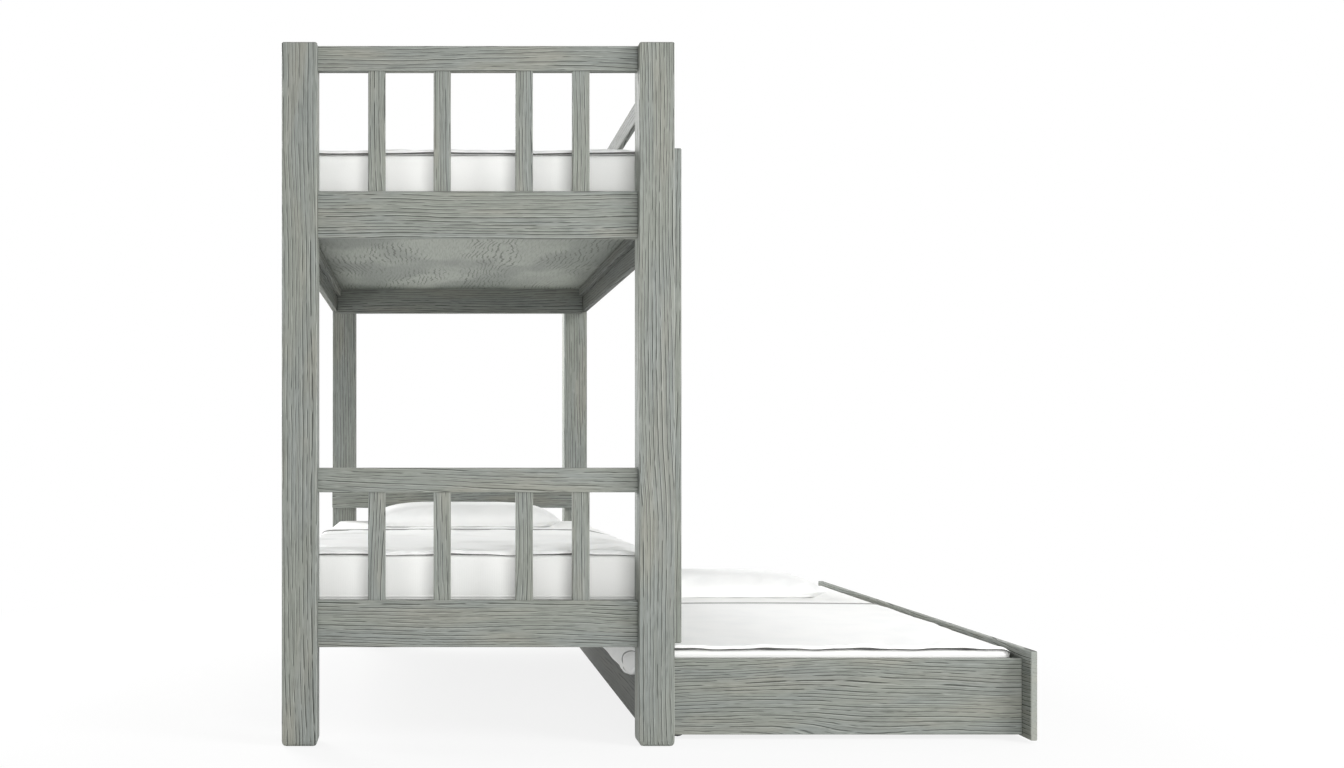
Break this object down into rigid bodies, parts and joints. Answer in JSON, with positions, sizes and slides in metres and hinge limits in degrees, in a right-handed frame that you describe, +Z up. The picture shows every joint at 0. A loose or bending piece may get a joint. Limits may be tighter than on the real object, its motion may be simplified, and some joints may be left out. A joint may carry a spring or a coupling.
{
  "type": "bunk bed with trundle",
  "caption": "Timber bunk bed with slatted foot end, side ladder and guard rails, made up with white bedding, and a roll-out trundle bed on casters",
  "frame": {"origin": "centre of the plan of the whole object with the trundle rolled out as in the picture, on the floor", "axes": "+X from the wall side to the ladder side, the way the trundle rolls out; +Y from the slatted foot end, which faces the picture's camera, to the head end; +Z up"},
  "size_m": [2.028, 2.151, 1.876],
  "materials": {
    "oak": "brushed oak with a grey-green stain, matt",
    "plywood": "stained veneer, matt",
    "mattress_cover": "white knitted cover",
    "bed_linen": "white cotton",
    "steel": "zinc plated",
    "caster_tread": "dark grey, satin"
  },
  "bodies": {
    "bunk_frame": {"post_foot_wall": "oak", "post_foot_ladder": "oak", "post_head_wall": "oak", "post_head_ladder": "oak", "foot_base_rail": "oak", "foot_mid_rail": "oak", "foot_bunk_rail": "oak", "foot_top_rail": "oak", "foot_lower_slat_1": "oak", "foot_lower_slat_2": "oak", "foot_lower_slat_3": "oak", "foot_lower_slat_4": "oak", "foot_upper_slat_1": "oak", "foot_upper_slat_2": "oak", "foot_upper_slat_3": "oak", "foot_upper_slat_4": "oak", "head_lower_ledger": "oak", "head_board": "oak", "head_upper_ledger": "oak", "head_guard_board": "oak", "head_top_board": "oak", "lower_wall_side_rail": "oak", "lower_ladder_side_rail": "oak", "upper_wall_side_rail": "oak", "upper_ladder_side_rail": "oak", "guard_rail": "oak", "guard_upright_1": "oak", "guard_upright_2": "oak", "wall_guard_rail": "oak", "wall_guard_upright_1": "oak", "ladder_stile_near": "oak", "ladder_stile_far": "oak", "ladder_rung_1": "oak", "ladder_rung_2": "oak", "ladder_rung_3": "oak", "ladder_rung_4": "oak", "lower_platform": "plywood", "upper_platform": "plywood", "lower_mattress": "mattress_cover", "upper_mattress": "mattress_cover", "lower_duvet": "bed_linen", "upper_duvet": "bed_linen", "lower_pillow": "bed_linen"},
    "trundle": {"trundle_front_panel": "oak", "trundle_back_panel": "oak", "trundle_foot_panel": "oak", "trundle_head_panel": "oak", "trundle_platform": "plywood", "trundle_mattress": "mattress_cover", "trundle_duvet": "bed_linen", "trundle_pillow": "bed_linen", "caster_bracket_foot_back": "steel", "caster_bracket_foot_front": "steel", "caster_bracket_head_back": "steel", "caster_bracket_head_front": "steel"},
    "wheel_foot_back": {"wheel_foot_back": "caster_tread"},
    "wheel_foot_front": {"wheel_foot_front": "caster_tread"},
    "wheel_head_back": {"wheel_head_back": "caster_tread"},
    "wheel_head_front": {"wheel_head_front": "caster_tread"}
  },
  "joints": [
    {"name": "trundle_slide", "type": "slide", "parent": "bunk_frame", "child": "trundle", "axis": [1, 0, 0], "range_m": [-0.961, 0.3], "deforming": ["trundle_pillow"]},
    {"name": "wheel_foot_back_spin", "type": "hinge", "parent": "trundle", "child": "wheel_foot_back", "pos_m": [0.063, -0.9315, 0.025], "axis": [0, 1, 0], "continuous": true},
    {"name": "wheel_foot_front_spin", "type": "hinge", "parent": "trundle", "child": "wheel_foot_front", "pos_m": [0.906, -0.8965, 0.025], "axis": [0, 1, 0], "continuous": true},
    {"name": "wheel_head_back_spin", "type": "hinge", "parent": "trundle", "child": "wheel_head_back", "pos_m": [0.063, 0.9315, 0.025], "axis": [0, 1, 0], "continuous": true},
    {"name": "wheel_head_front_spin", "type": "hinge", "parent": "trundle", "child": "wheel_head_front", "pos_m": [0.906, 0.8965, 0.025], "axis": [0, 1, 0], "continuous": true}
  ],
  "couplings": [
    {"joint": "wheel_foot_back_spin", "follows": "trundle_slide", "rad_per_m": 40},
    {"joint": "wheel_foot_front_spin", "follows": "trundle_slide", "rad_per_m": 40},
    {"joint": "wheel_head_back_spin", "follows": "trundle_slide", "rad_per_m": 40},
    {"joint": "wheel_head_front_spin", "follows": "trundle_slide", "rad_per_m": 40}
  ]
}
